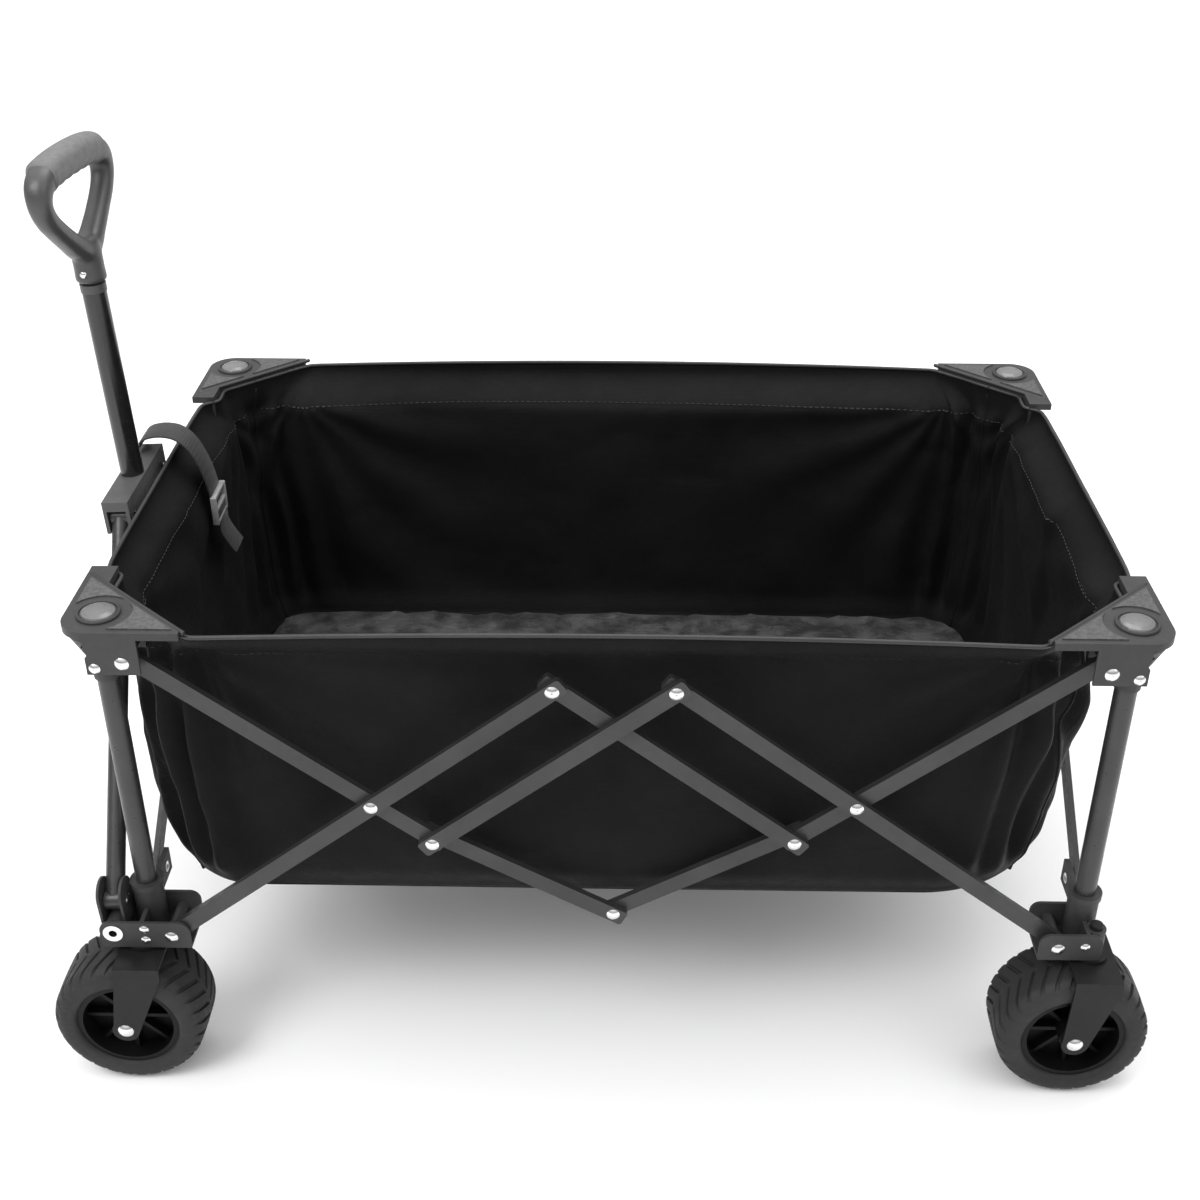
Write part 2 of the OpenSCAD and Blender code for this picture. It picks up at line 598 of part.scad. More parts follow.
// Fabric basket: an open box inside the posts, with a hem band along the rim
// between the corner brackets that reaches out over the bars.
hem_z = rim_z - 16;
hem_t = 8;
module basket() color(black) at_frame() {
  l = basket_half_length;
  w = basket_half_width;
  difference() {
    translate([-l, -w, floor_z - cloth_t]) cube([2 * l, 2 * w, hem_z + hem_t - floor_z + cloth_t]);
    translate([-l + cloth_t, -w + cloth_t, floor_z]) cube([2 * (l - cloth_t), 2 * (w - cloth_t), rim_z]);
    // Room for the brackets' webs and arms at the corners
    for (x = [-1, 1], y = [-1, 1]) translate([x * (l + 30), y * (w + 14), up_pivot_z + 5])
      cube([2 * (l + 30 - arm_reach_x + 3), 2 * (w + 14 - post_half_width + 62), 2 * (rim_z - up_pivot_z)], center = true);
  }
  for (s = [-1, 1]) {
    translate([-arm_reach_x + 2, s > 0 ? w - 1 : -w - 34, hem_z]) cube([2 * arm_reach_x - 4, 35, hem_t]);
    translate([s > 0 ? l - 1 : -l - 33, -end_pivot_y + 15, hem_z]) cube([34, 2 * end_pivot_y - 30, hem_t]);
  }
}

// Padded floor panel that lies on the basket's fabric floor.
module floor_pad() color("#303134") at_frame()
  translate([-basket_half_length + cloth_t + 3, -basket_half_width + cloth_t + 3, floor_z])
    cube([2 * (basket_half_length - cloth_t - 3), 2 * (basket_half_width - cloth_t - 3), 9]);

// Webbing strap over the handle end's rim, with its buckle inside.
module rim_strap() color(black) at_frame() {
  translate([-basket_half_length - 28, 62, rim_z - 7]) cube([35, 25, 3]);
  translate([-basket_half_length + cloth_t + 1, 62, rim_z - 60]) cube([3, 25, 56]);
  translate([-basket_half_length + cloth_t + 1, 59, rim_z - 82]) cube([8, 31, 24]);
}

LEFT = -1;
RIGHT = 1;
FRONT = -1;
BACK = 1;
at_corner(LEFT, FRONT) upper_bracket(2);  // upper_bracket_fl
at_corner(RIGHT, FRONT) upper_bracket(3);  // upper_bracket_fr
at_corner(LEFT, BACK) upper_bracket(2);  // upper_bracket_bl
at_corner(RIGHT, BACK) upper_bracket(3);  // upper_bracket_br
at_corner(LEFT, FRONT) inner_post();  // inner_post_fl
at_corner(RIGHT, FRONT) inner_post();  // inner_post_fr
at_corner(LEFT, BACK) inner_post();  // inner_post_bl
at_corner(RIGHT, BACK) inner_post();  // inner_post_br
at_corner(LEFT, FRONT) lower_bracket(1, true);  // lower_bracket_fl
at_corner(RIGHT, FRONT) lower_bracket(2, false);  // lower_bracket_fr
at_corner(LEFT, BACK) lower_bracket(1, true);  // lower_bracket_bl
at_corner(RIGHT, BACK) lower_bracket(2, false);  // lower_bracket_br
at_corner(LEFT, FRONT) outer_post();  // outer_post_fl
at_corner(RIGHT, FRONT) outer_post();  // outer_post_fr
at_corner(LEFT, BACK) outer_post();  // outer_post_bl
at_corner(RIGHT, BACK) outer_post();  // outer_post_br
at_corner(LEFT, FRONT) fork(fixed_axle_x, fixed_axle_x - 20, false);  // axle_fork_fl
at_corner(RIGHT, FRONT) fork(swivel_x - trail, swivel_x, true);  // caster_fork_fr
at_corner(LEFT, BACK) fork(fixed_axle_x, fixed_axle_x - 20, false);  // axle_fork_bl
at_corner(RIGHT, BACK) fork(swivel_x - trail, swivel_x, true);  // caster_fork_br
at_corner(LEFT, FRONT) tyre(fixed_axle_x);  // tyre_fl
at_corner(RIGHT, FRONT) tyre(swivel_x - trail);  // tyre_fr
at_corner(LEFT, BACK) tyre(fixed_axle_x);  // tyre_bl
at_corner(RIGHT, BACK) tyre(swivel_x - trail);  // tyre_br
at_corner(LEFT, FRONT) hub(fixed_axle_x);  // hub_fl
at_corner(RIGHT, FRONT) hub(swivel_x - trail);  // hub_fr
at_corner(LEFT, BACK) hub(fixed_axle_x);  // hub_bl
at_corner(RIGHT, BACK) hub(swivel_x - trail);  // hub_br
bar_a(true);  // bar_a_front
bar_b(true);  // bar_b_front
bar_c(true);  // bar_c_front
bar_d(true);  // bar_d_front
bar_e(true);  // bar_e_front
bar_f(true);  // bar_f_front
bar_g(true);  // bar_g_front
bar_h(true);  // bar_h_front
bar_a(false);  // bar_a_back
bar_b(false);  // bar_b_back
bar_c(false);  // bar_c_back
bar_d(false);  // bar_d_back
bar_e(false);  // bar_e_back
bar_f(false);  // bar_f_back
bar_g(false);  // bar_g_back
bar_h(false);  // bar_h_back
at_corner(LEFT, BACK) end_bar(1, -1);  // end_bar_1_left
at_corner(LEFT, BACK) end_bar(2, 1);  // end_bar_2_left
at_corner(RIGHT, BACK) end_bar(1, -1);  // end_bar_1_right
at_corner(RIGHT, BACK) end_bar(2, 1);  // end_bar_2_right
pull_knuckle(true);  // pull_knuckle_front
pull_knuckle(false);  // pull_knuckle_back
pull_leg(true);  // pull_leg_front
pull_leg(false);  // pull_leg_back
pull_head();
outer_handle_tube();
sliding_handle_tube();
d_grip();
basket();
floor_pad();
rim_strap();
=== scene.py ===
"""Looks of a folding fabric wagon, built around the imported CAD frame.

Metres, +Z up. The handle end is at -X and the front at -Y.
"""
import math

import bmesh
import bpy
import numpy as np
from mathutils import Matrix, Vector, noise


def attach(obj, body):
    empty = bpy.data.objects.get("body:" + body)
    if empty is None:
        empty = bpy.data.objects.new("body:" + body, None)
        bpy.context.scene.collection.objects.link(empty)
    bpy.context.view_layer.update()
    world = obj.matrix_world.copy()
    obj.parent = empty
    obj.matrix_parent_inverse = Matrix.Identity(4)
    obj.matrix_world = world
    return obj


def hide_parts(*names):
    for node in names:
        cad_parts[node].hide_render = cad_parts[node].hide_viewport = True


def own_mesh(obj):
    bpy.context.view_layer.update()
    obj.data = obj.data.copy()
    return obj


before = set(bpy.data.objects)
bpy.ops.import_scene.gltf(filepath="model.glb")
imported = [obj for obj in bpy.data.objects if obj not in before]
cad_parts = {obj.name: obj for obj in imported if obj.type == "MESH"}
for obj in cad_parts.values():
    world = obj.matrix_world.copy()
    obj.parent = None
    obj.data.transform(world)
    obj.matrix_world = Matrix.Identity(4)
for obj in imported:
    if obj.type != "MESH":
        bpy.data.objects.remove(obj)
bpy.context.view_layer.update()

# ---------------------------------------------------------------- main sizes
# These repeat part.scad. X is measured from DX, Y from the middle of the wagon.
DX = 0.0135                         # the frame's middle, along X
PIVOT_X = 0.420                     # half distance between the side bars' end pivots
END_PIVOT_Y = 0.2008                # half distance between the end bars' pivots
POST_X, POST_Y = 0.447, 0.268
CAP_X, CAP_Y = 0.444, 0.272         # the round caps on the posts
CORNER_X, CORNER_Y = 0.474, 0.3036  # the outer corner of an upper bracket
GUSSET_X, GUSSET_Y = 0.368, 0.205   # where the gusset's inner edge meets the rim
LOW_Z, UP_Z, RIM_Z = 0.170, 0.480, 0.511
FLOOR_Z, PAD_TOP = 0.196, 0.205
WHEEL_R, WHEEL_Y, TYRE_W, RIM_R = 0.073, 0.291, 0.070, 0.049
AXLE_X = {"l": 0.471, "r": 0.444}   # fixed wheels, casters
LEAN = math.radians(2.3)            # of the pull frame
SWING_X, SWING_Z = 0.475, 0.175     # the axis that the pull frame swings about
OUTER_TUBE_TOP = 0.5280             # along the pull frame, from that axis
COLLAR_Z = 0.4459                   # underside of the outer posts' collars
FOLD_KEEP_X, FOLD_KEEP_Y = 0.27, 0.415  # shares of length and width that are left when folded
CORNERS = {"fl": (-1, -1), "fr": (1, -1), "bl": (-1, 1), "br": (1, 1)}


# ---------------------------------------------------------------- materials
CLOUD_AT = (0.3, 0.7)       # the noise levels that stand for the lowest and highest colour


def ramp(tree, source, low, high, at=CLOUD_AT):
    """A colour ramp from colour low to colour high, fed by source."""
    node = tree.nodes.new("ShaderNodeValToRGB")
    node.color_ramp.elements[0].position, node.color_ramp.elements[1].position = at
    node.color_ramp.elements[0].color = (*low, 1)
    node.color_ramp.elements[1].color = (*high, 1)
    tree.links.new(source, node.inputs["Fac"])
    return node.outputs["Color"]


def noise_of(tree, scale, detail, rough, stretch=(1, 1, 1)):
    """Noise in the piece's own coordinates."""
    place = tree.nodes.new("ShaderNodeTexCoord")
    mapping = tree.nodes.new("ShaderNodeMapping")
    mapping.inputs["Scale"].default_value = stretch
    tree.links.new(place.outputs["Object"], mapping.inputs["Vector"])
    node = tree.nodes.new("ShaderNodeTexNoise")
    node.inputs["Scale"].default_value = scale
    node.inputs["Detail"].default_value = detail
    node.inputs["Roughness"].default_value = rough
    tree.links.new(mapping.outputs["Vector"], node.inputs["Vector"])
    return node.outputs["Fac"]


def bands(tree, scale, direction):
    """Even bands across one direction, for weave and webbing."""
    place = tree.nodes.new("ShaderNodeTexCoord")
    node = tree.nodes.new("ShaderNodeTexWave")
    node.bands_direction = direction
    node.inputs["Scale"].default_value = scale
    tree.links.new(place.outputs["Object"], node.inputs["Vector"])
    return node.outputs["Fac"]


def bump(tree, height, strength, distance, below=None):
    """Adds a bump to the normal below it."""
    node = tree.nodes.new("ShaderNodeBump")
    node.inputs["Strength"].default_value = strength
    node.inputs["Distance"].default_value = distance
    tree.links.new(height, node.inputs["Height"])
    if below is not None:
        tree.links.new(below, node.inputs["Normal"])
    return node.outputs["Normal"]


def times(tree, a, b):
    """The product of two outputs."""
    node = tree.nodes.new("ShaderNodeMath")
    node.operation = "MULTIPLY"
    tree.links.new(a, node.inputs[0])
    tree.links.new(b, node.inputs[1])
    return node.outputs[0]


# How far the bumps of each kind stand out, in metres
CREASE_DEPTH, WEAVE_DEPTH, GRAIN_DEPTH = 0.004, 0.0004, 0.0003
SPECKLE = 9                 # roughness varies this many times finer than colour


def material(name, low, high, rough, specular, metallic=0.0, sheen=0.0, cloud=18.0,
             grain=None, weave=None, crease=None, cloud_at=CLOUD_AT):
    """A procedural material: cloudy colour between greys low and high, roughness between two
    values, and bumps from a fine grain (scale, strength), a weave (scale, strength, directions)
    and creases (scale, strength, stretch)."""
    m = bpy.data.materials.new(name)
    m.use_nodes = True
    tree = m.node_tree
    shader = tree.nodes["Principled BSDF"]
    shader.inputs["Metallic"].default_value = metallic
    shader.inputs["Specular IOR Level"].default_value = specular
    if sheen:
        shader.inputs["Sheen Weight"].default_value = sheen
        shader.inputs["Sheen Roughness"].default_value = 0.45
    clouds = noise_of(tree, cloud, 5.0, 0.6)
    colour = ramp(tree, clouds, (low,) * 3, (high,) * 3, cloud_at)
    tree.links.new(colour, shader.inputs["Base Color"])
    speckle = noise_of(tree, cloud * SPECKLE, 3.0, 0.6)
    uneven = ramp(tree, speckle, (rough[0],) * 3, (rough[1],) * 3)
    tree.links.new(uneven, shader.inputs["Roughness"])
    normal = None
    if crease:
        scale, strength, stretch = crease
        normal = bump(tree, noise_of(tree, scale, 4.0, 0.62, stretch), strength, CREASE_DEPTH)
    if weave:
        scale, strength, first, second = weave
        threads = times(tree, bands(tree, scale, first), bands(tree, scale, second))
        normal = bump(tree, threads, strength, WEAVE_DEPTH, normal)
    if grain:
        scale, strength = grain
        normal = bump(tree, noise_of(tree, scale, 2.0, 0.5), strength, GRAIN_DEPTH, normal)
    if normal is not None:
        tree.links.new(normal, shader.inputs["Normal"])
    return m


# Arguments in order: name, darkest and lightest grey, roughness, specular level, metallic
PAINT = material("bar_powder_coat", 0.026, 0.040, (0.30, 0.46), 0.45, 0.2, grain=(900, 0.22))
TUBE = material("tube_powder_coat", 0.030, 0.044, (0.26, 0.40), 0.45, 0.2, grain=(900, 0.18))
BRACKET = material("bracket_plastic", 0.030, 0.043, (0.46, 0.62), 0.32, grain=(1400, 0.35))
PAD = material("bracket_pad_plastic", 0.045, 0.095, (0.5, 0.66), 0.4, cloud=260,
               grain=(420, 0.9))
CAP = material("cap_plastic", 0.105, 0.145, (0.20, 0.30), 0.6, grain=(1200, 0.15))
FORK = material("fork_paint", 0.0085, 0.0135, (0.36, 0.50), 0.2, 0.05, grain=(900, 0.25))
POLE = material("handle_gloss_black", 0.008, 0.013, (0.18, 0.28), 0.6, grain=(900, 0.1))
STEEL = material("bright_steel", 0.66, 0.80, (0.14, 0.26), 0.5, 1.0, grain=(700, 0.1))
TYRE = material("tyre_plastic", 0.017, 0.028, (0.52, 0.70), 0.25, grain=(1100, 0.5))
HUB = material("hub_plastic", 0.0035, 0.006, (0.36, 0.5), 0.15, grain=(1000, 0.2))
HEAD = material("head_plastic", 0.055, 0.075, (0.34, 0.5), 0.4, grain=(1200, 0.25))
GRIP = material("grip_frame_plastic", 0.045, 0.062, (0.28, 0.40), 0.45, grain=(1500, 0.3))
PALM = material("grip_palm_rubber", 0.115, 0.155, (0.50, 0.64), 0.35, cloud=200,
                grain=(700, 0.8))
CLOTH, CLOTH_END = [
    material(name, 0.0063, 0.0107, (0.40, 0.56), 0.05, sheen=0.012, cloud=7,
             weave=(210, 0.55, across, "Z"), crease=(26, 0.5, (1, 1, 1)), grain=(1600, 0.3))
    for name, across in (("basket_polyester", "X"), ("basket_polyester_end", "Y"))]
CLOTH_FLAT = material("basket_polyester_floor", 0.0050, 0.0085, (0.42, 0.58), 0.16, cloud=7,
                      weave=(210, 0.55, "X", "Y"), crease=(22, 0.4, (1, 1, 1)),
                      grain=(1600, 0.3))
# Painted sheen: the mat's fabric gets a much lighter, cloudier grey than the walls' black
# polyester. This grey stands in for the sheen and light falling on its top.
MAT_PAINTED_SHEEN = material("floor_mat_polyester_painted_sheen", 0.018, 0.066, (0.36, 0.56), 0.35, sheen=0.06, cloud=26,
                 weave=(180, 0.5, "X", "Y"), crease=(34, 0.8, (1, 1.8, 1)),
                 grain=(1500, 0.3), cloud_at=(0.40, 0.60))
PIPING = material("piping_polyester", 0.022, 0.034, (0.34, 0.5), 0.4, grain=(1500, 0.6))
THREAD = material("stitching_thread", 0.030, 0.050, (0.4, 0.55), 0.3, grain=(2200, 0.4))
WEBBING = material("strap_webbing", 0.020, 0.034, (0.5, 0.66), 0.3, sheen=0.1,
                   weave=(150, 0.9, "X", "Y"), grain=(1800, 0.4))
BUCKLE = material("buckle_plastic", 0.20, 0.32, (0.20, 0.30), 0.6, grain=(1300, 0.15))


# ---------------------------------------------------------------- mesh helpers
def piece(name, vertices, faces, mat, body, slot, sharp=None):
    """A smooth-shaded mesh piece that rides on a body, with sharp edges past an angle."""
    mesh = bpy.data.meshes.new(name)
    mesh.from_pydata([tuple(v) for v in vertices], [], faces)
    mesh.validate()
    mesh.materials.append(mat)
    mesh.polygons.foreach_set("use_smooth", [True] * len(mesh.polygons))
    if sharp is not None:
        mesh.set_sharp_from_angle(angle=math.radians(sharp))
    o = bpy.data.objects.new(name, mesh)
    bpy.context.scene.collection.objects.link(o)
    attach(o, body)
    return o


def grid_faces(rows, columns, wrap=False, start=0):
    """Quads of a grid of vertices in rows; wrap joins the last column to the first."""
    made = []
    for r in range(rows - 1):
        for c in range(columns if wrap else columns - 1):
            n = (c + 1) % columns
            made.append((start + r * columns + c, start + r * columns + n,
                         start + (r + 1) * columns + n, start + (r + 1) * columns + c))
    return made


def end_caps(rows, columns):
    """The two faces that close a wrapped grid."""
    last = (rows - 1) * columns
    return [tuple(range(columns - 1, -1, -1)), tuple(last + k for k in range(columns))]


def tube(path, radius, sides):
    """Vertices and faces of a round tube along points, closed at both ends."""
    count = len(path)
    vertices = []
    side = None
    for i, p in enumerate(path):
        p = Vector(p)
        before = Vector(path[i - 1]) if i else p
        after = Vector(path[i + 1]) if i < count - 1 else p
        ahead = (after - before).normalized()
        if side is None:
            side = ahead.cross(Vector((0, 0, 1)))
            side = side if side.length > 0.1 else ahead.cross(Vector((0, 1, 0)))
        side = (side - ahead * side.dot(ahead)).normalized()
        up = ahead.cross(side)
        for k in range(sides):
            a = 2 * math.pi * k / sides
            out = side * math.cos(a) * radius + up * math.sin(a) * radius
            vertices.append(p + out)
    return vertices, grid_faces(count, sides, wrap=True) + end_caps(count, sides)


def join_parts(parts):
    """One vertex list and one face list out of several."""
    vertices, faces = [], []
    for v, f in parts:
        start = len(vertices)
        vertices += [Vector(p) for p in v]
        faces += [tuple(start + i for i in face) for face in f]
    return vertices, faces


def smooth(x):
    """An even ease from 0 to 1."""
    x = max(0.0, min(1.0, x))
    return x * x * (3 - 2 * x)


def mix(a, b, t):
    return a + (b - a) * t


# ---------------------------------------------------------------- CAD nodes that stay
RIVET_FACE = 4e-5           # largest polygon on a rivet head, square metres
FLAT_FACE = 2e-4            # smallest polygon on a bar's flat face, square metres
HAIR = 2e-5                 # how far past a face a point must be to stand out of it
BEVEL_ANGLE = math.radians(40)
RIVET_R = 0.0068            # what is closer than this to a rivet's axis is its head


def finish_node(name, mat, bevel=0.0, accents=()):
    """Gives a CAD node its material, a soft bevel and other materials where a test on the
    polygon's centre says so. Steel goes only on small polygons, as on rivet heads."""
    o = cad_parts[name]
    o.data.materials.clear()
    o.data.materials.append(mat)
    for m, _ in accents:
        o.data.materials.append(m)
    for p in o.data.polygons:
        p.material_index = 0
        for i, (m, test) in enumerate(accents, 1):
            if test(p.center) and (m is not STEEL or p.area < RIVET_FACE):
                p.material_index = i
    if bevel:
        mod = o.modifiers.new("edge", "BEVEL")
        mod.width = bevel
        mod.segments = 2
        mod.limit_method = "ANGLE"
        mod.angle_limit = BEVEL_ANGLE
        mod.harden_normals = True


def near_xz(c, x, z, r):
    """Is a point close to a rivet along Y, the same at both ends of the wagon?"""
    return math.hypot(abs(c.x - DX) - x, c.z - z) < r


def near_yz(c, y, z, r):
    """Is a point close to a rivet along X, the same on both sides?"""
    return math.hypot(abs(c.y) - y, c.z - z) < r


def end_rivet_at(c, z):
    """A head of an end bar's rivet on a bracket, outside the bracket's two faces."""
    return near_yz(c, END_PIVOT_Y, z, RIVET_R) and not 0.4499 < abs(c.x - DX) < 0.4702


def pull_rivet_at(c, y, u, gap):
    """A rivet head outside the faces that stand gap to each side of the pull plane."""
    middle = DX - SWING_X - u * math.sin(LEAN)
    return near_yz(c, y, SWING_Z + u, 0.0065) and abs(c.x - middle) > gap


def upper_rivets(c):
    """Rivet heads of an upper bracket, outside its skirt and at its end bar."""
    side_bar = near_xz(c, PIVOT_X, UP_Z, 0.0072)
    skirt = near_xz(c, 0.444, 0.475, 0.006)
    return abs(c.y) > CORNER_Y + HAIR and (side_bar or skirt) or end_rivet_at(c, UP_Z)


def lower_rivets(c):
    """Rivet heads and the hollow eyelet of a lower bracket."""
    outer_head = near_xz(c, SWING_X, SWING_Z, 0.0098) or c.z < 0.19
    eyelet = near_xz(c, SWING_X, SWING_Z, 0.0072)
    return abs(c.y) > CORNER_Y + HAIR and outer_head or eyelet or end_rivet_at(c, LOW_Z)


def on_cap(c, low, high):
    """On top of an upper bracket, between two distances from the middle of its cap?"""
    away = math.hypot(abs(c.x - DX) - CAP_X, abs(c.y) - CAP_Y)
    return c.z > RIM_Z + HAIR and low < away < high


def finish_frame():
    for name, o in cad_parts.items():
        if name.startswith("bar_"):
            # The rivet heads stand out of the flat faces on both sides
            flats = [abs(p.center.y) for p in o.data.polygons
                     if abs(p.normal.y) > 0.999 and p.area > FLAT_FACE]
            inner, outer = min(flats) - HAIR, max(flats) + HAIR
            finish_node(name, PAINT, 0.0011, [(STEEL, lambda c: not inner <= abs(c.y) <= outer)])
        elif name.startswith("end_bar"):
            finish_node(name, PAINT, 0.0011, [
                (STEEL, lambda c: near_yz(c, 0, 0.325, RIVET_R)
                 and not 0.4582 < abs(c.x - DX) < 0.4698)])
        elif name.startswith("upper_bracket"):
            finish_node(name, BRACKET, 0.0007, [(CAP, lambda c: on_cap(c, -1, 0.0152)),
                                                (PAD, lambda c: on_cap(c, 0.0195, 1)),
                                                (STEEL, upper_rivets)])
        elif name.startswith("lower_bracket"):
            finish_node(name, BRACKET, 0.0007, [(STEEL, lower_rivets)])
        elif "fork" in name:
            axle_x = AXLE_X[name[-1]]
            finish_node(name, FORK, 0.0006, [
                (STEEL, lambda c: near_xz(c, axle_x, WHEEL_R, 0.0082)
                 and not 0.2512 < abs(c.y) < 0.3308)])
        elif "outer_post" in name:
            finish_node(name, TUBE, 0, [(BRACKET, lambda c: c.z > COLLAR_Z)])
        elif name == "outer_handle_tube":
            finish_node(name, POLE, 0, [(GRIP, lambda c: c.z > SWING_Z + OUTER_TUBE_TOP)])
        elif "inner_post" in name or "pull_leg" in name or name == "sliding_handle_tube":
            finish_node(name, TUBE)
        elif name == "pull_head":
            finish_node(name, HEAD, 0.0022,
                        [(STEEL, lambda c: pull_rivet_at(c, 0.054, 0.316, 0.0130))])
        elif name.startswith("pull_knuckle"):
            finish_node(name, BRACKET, 0.0012,
                        [(STEEL, lambda c: pull_rivet_at(c, 0.281, 0.022, 0.0120))])
        elif name.startswith("hub"):
            finish_node(name, HUB, 0.0007)


finish_frame()


# ---------------------------------------------------------------- tyres
LUGS = 30
GROOVE = 0.0026             # depth of the grooves between the lugs
SHOULDER = 0.013
CROWN = 0.0004              # how much lower the tread is 20 mm from its middle
SLANT = 1.1                 # lugs that one lug runs over, from the middle to SLANT_OVER
SLANT_OVER = 0.03
# Round one lug: (share of the pitch, share of the groove's depth)
LUG = [(0.0, 1.0), (0.10, 1.0), (0.20, 1.0), (0.26, 0.0),
       (0.45, 0.0), (0.64, 0.0), (0.82, 0.0), (0.94, 0.0)]


def tyre(corner):
    """A wide tyre with slanted lugs that meet in a V at the middle, rolled shoulders and a rim
    flange."""
    end, side = CORNERS[corner]
    axle = Vector((DX + end * AXLE_X[corner[-1]], side * WHEEL_Y, WHEEL_R))
    half = TYRE_W / 2
    profile = []                # (width position, radius, groove depth share, slant)
    for v in (0.0, 0.0015, 0.003, 0.006, 0.010, 0.014, 0.018, 0.0215):
        r = WHEEL_R - CROWN * (v / 0.02) ** 2
        profile.append((v, r, 0.0 if v < 0.002 else 1.0, v / SLANT_OVER))
    for k in range(1, 9):
        a = math.pi / 2 * k / 8
        v = half - SHOULDER + SHOULDER * math.sin(a)
        r = WHEEL_R - CROWN - SHOULDER * (1 - math.cos(a))
        profile.append((v, r, max(0.0, 1 - (k / 6.0) ** 2), min(v / SLANT_OVER, 1.05)))
    # Side wall and rim flange
    profile += [(half + v, r, 0, 1.05) for v, r in (
        (0.0002, WHEEL_R - 0.018), (0, 0.0525), (-0.0012, 0.0505), (-0.004, RIM_R + 0.0002),
        (-0.012, RIM_R - 0.0002))]
    full = [(-v, r, g, s) for v, r, g, s in reversed(profile[1:])] + profile
    pitch = 2 * math.pi / LUGS
    vertices = []
    for v, r, g, s in full:
        for lug in range(LUGS):
            for share, depth in LUG:
                a = (lug + share + SLANT * s) * pitch
                radius = r - GROOVE * depth * g
                vertices.append(axle + Vector((radius * math.cos(a), v, radius * math.sin(a))))
    faces = grid_faces(len(full), LUGS * len(LUG), wrap=True)
    o = piece("tyre_detail_" + corner, vertices, faces, TYRE, "wheel_" + corner, "tyre_tread")
    mesh = bmesh.new()
    mesh.from_mesh(o.data)
    bmesh.ops.recalc_face_normals(mesh, faces=mesh.faces)
    mesh.to_mesh(o.data)
    mesh.free()
    o.data.set_sharp_from_angle(angle=math.radians(38))
    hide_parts("tyre_" + corner)


for corner in CORNERS:
    tyre(corner)


# ---------------------------------------------------------------- D-grip
def pull_point(x, y, u):
    """A point of the pull frame's plane: x out of the plane, u up from the swing axis."""
    return Vector((DX - SWING_X + x * math.cos(LEAN) - u * math.sin(LEAN), y,
                   SWING_Z + x * math.sin(LEAN) + u * math.cos(LEAN)))


def catmull_rom(a, b, c, d, f):
    """The curve from b to c at share f, shaped by its neighbours a and d."""
    return 0.5 * (2 * b + (c - a) * f + (2 * a - 5 * b + 4 * c - d) * f * f
                  + (3 * b - a - 3 * c + d) * f ** 3)


def loop_through(points, count, closed=True):
    """A smooth line of count points through a few."""
    n = len(points)
    line = []
    for i in range(count):
        t = i / count * n if closed else i / (count - 1) * (n - 1)
        k = min(int(t), n - 1 if closed else n - 2)
        near = [k + j if closed else max(0, min(n - 1, k + j)) for j in (-1, 0, 1, 2)]
        line.append(catmull_rom(*(Vector(points[j % n]) for j in near), t - k))
    return line


GRIP_TURN = math.radians(8)


def grip_point(x, y, u):
    """A point of the grip, which is turned a little on its tube."""
    return pull_point(x * math.cos(GRIP_TURN) + y * math.sin(GRIP_TURN),
                      y * math.cos(GRIP_TURN) - x * math.sin(GRIP_TURN), u)


def squared_ring(count, power):
    """Unit directions round a slightly squared ring."""
    ring = []
    for k in range(count):
        c, s = math.cos(2 * math.pi * k / count), math.sin(2 * math.pi * k / count)
        ring.append((math.copysign(abs(c) ** power, c), math.copysign(abs(s) ** power, s)))
    return ring


GRIP_STEPS, GRIP_SIDES = 96, 20
NECK_SIDES = 28
# Half of the loop: (y, u, radius along u, radius out of the plane)
GRIP_HALF = [
    (0.0, 0.6535, 0.0125, 0.0135), (0.024, 0.6530, 0.0125, 0.0135),
    (0.046, 0.6500, 0.0125, 0.0135), (0.0600, 0.6420, 0.0115, 0.0125),
    (0.0640, 0.6280, 0.0098, 0.0110), (0.0575, 0.6130, 0.0094, 0.0105),
    (0.0430, 0.5980, 0.0094, 0.0105), (0.0270, 0.5840, 0.0098, 0.0110),
    (0.0130, 0.5730, 0.0110, 0.0120), (0.0, 0.5680, 0.0120, 0.0130)]
# Socket and neck: (u, half width, half depth)
NECK = [
    (0.5380, 0.0130, 0.0130), (0.5382, 0.0142, 0.0142), (0.5410, 0.0148, 0.0146),
    (0.5500, 0.0144, 0.0142), (0.5600, 0.0146, 0.0142), (0.5680, 0.0160, 0.0140),
    (0.5750, 0.0180, 0.0130), (0.5800, 0.0150, 0.0110), (0.5820, 0.0050, 0.0040)]
PALM_U, PALM_HALF = 0.6535, 0.0535  # height and half length of the palm pad
SCREW = [(0.0001, 0.0015), (0.0022, 0.0014), (0.0032, 0.0008), (0.0035, -0.0008)]


def grip_loop():
    """The loop of the handle, whose two arms meet in the socket."""
    ring = GRIP_HALF + [(-y, u, a, b) for y, u, a, b in reversed(GRIP_HALF[1:-1])]
    line = loop_through([(y, u, 0) for y, u, a, b in ring], GRIP_STEPS)
    sizes = loop_through([(a, b, 0) for y, u, a, b in ring], GRIP_STEPS)
    section = squared_ring(GRIP_SIDES, 0.8)
    vertices = []
    for i, p in enumerate(line):
        ahead = (line[(i + 1) % GRIP_STEPS] - line[i - 1]).normalized()
        side = Vector((-ahead.y, ahead.x, 0))
        for c, s in section:
            q = p + side * c * sizes[i].x
            vertices.append(grip_point(s * sizes[i].y, q.x, q.y))
    faces = grid_faces(GRIP_STEPS, GRIP_SIDES, wrap=True)
    last = (GRIP_STEPS - 1) * GRIP_SIDES
    for k in range(GRIP_SIDES):
        n = (k + 1) % GRIP_SIDES
        faces.append((last + k, last + n, n, k))
    return vertices, faces


